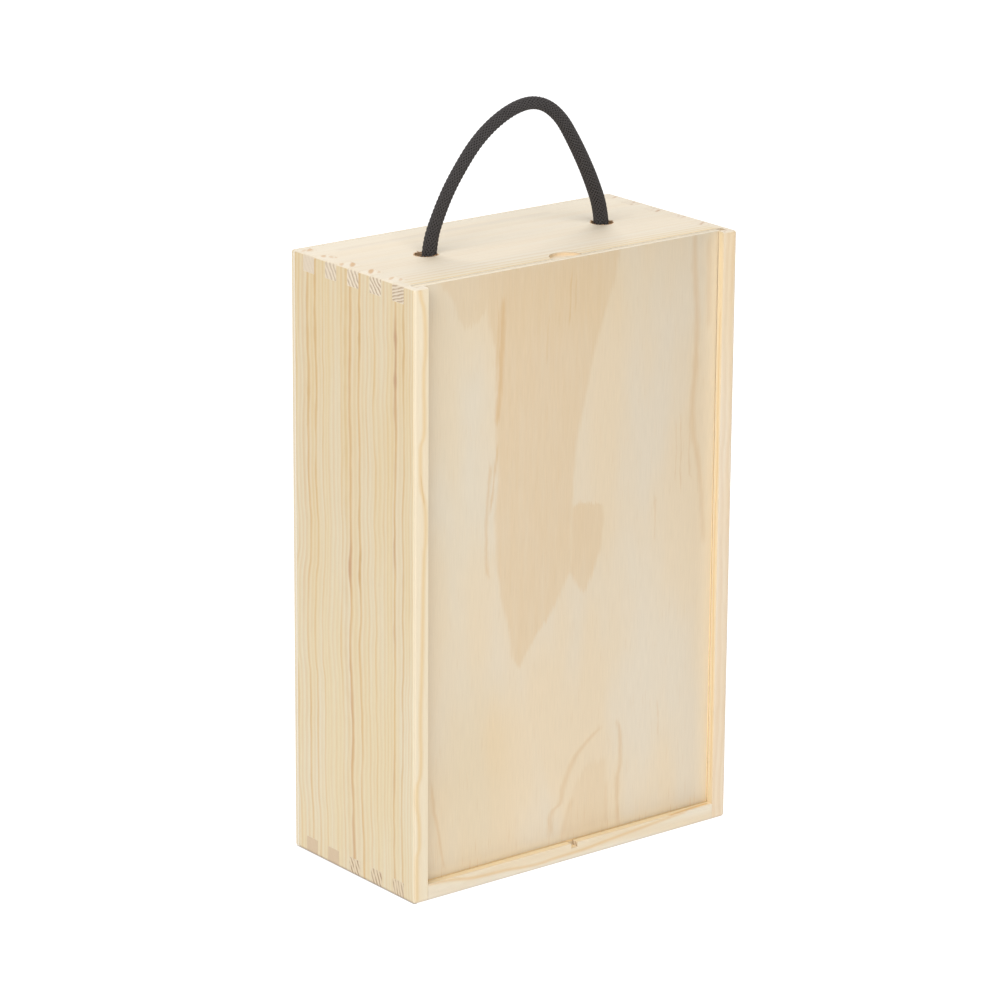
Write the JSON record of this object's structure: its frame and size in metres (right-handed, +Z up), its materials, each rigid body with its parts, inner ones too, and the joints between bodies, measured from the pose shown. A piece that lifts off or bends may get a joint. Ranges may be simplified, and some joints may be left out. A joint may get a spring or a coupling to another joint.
{
  "type": "wooden bottle box",
  "caption": "Upright finger-jointed pine bottle box with a plywood front that slides up in grooves, a plywood back and a black rope carrying handle.",
  "frame": {"origin": "middle of the underside, on the surface that the box stands on", "axes": "+X to the right seen from the front, +Y to the back panel, +Z up; the lid slides up along +Z"},
  "size_m": [0.2, 0.1, 0.3819],
  "materials": {
    "pine": "bare sanded softwood, pale cream with yellow-brown grain",
    "plywood": "bare rotary-cut softwood veneer on three plies",
    "steel": "plain bright pins",
    "rope": "black braided cotton cord"
  },
  "bodies": {
    "box": {"left_side_board": "pine", "right_side_board": "pine", "top_board": "pine", "bottom_board": "pine", "back_panel": "plywood", "back_panel_pins": "steel"},
    "lid": {"sliding_lid": "plywood"},
    "handle": {"rope_handle": "rope", "rope_knot_left": "rope", "rope_knot_right": "rope"}
  },
  "joints": [
    {"name": "lid_slide", "type": "slide", "parent": "box", "child": "lid", "axis": [0, 0, 1], "range_m": [0, 0.3]},
    {"name": "handle_lift", "type": "slide", "parent": "box", "child": "handle", "axis": [0, 0, 1], "range_m": [0, 0.0048]}
  ]
}
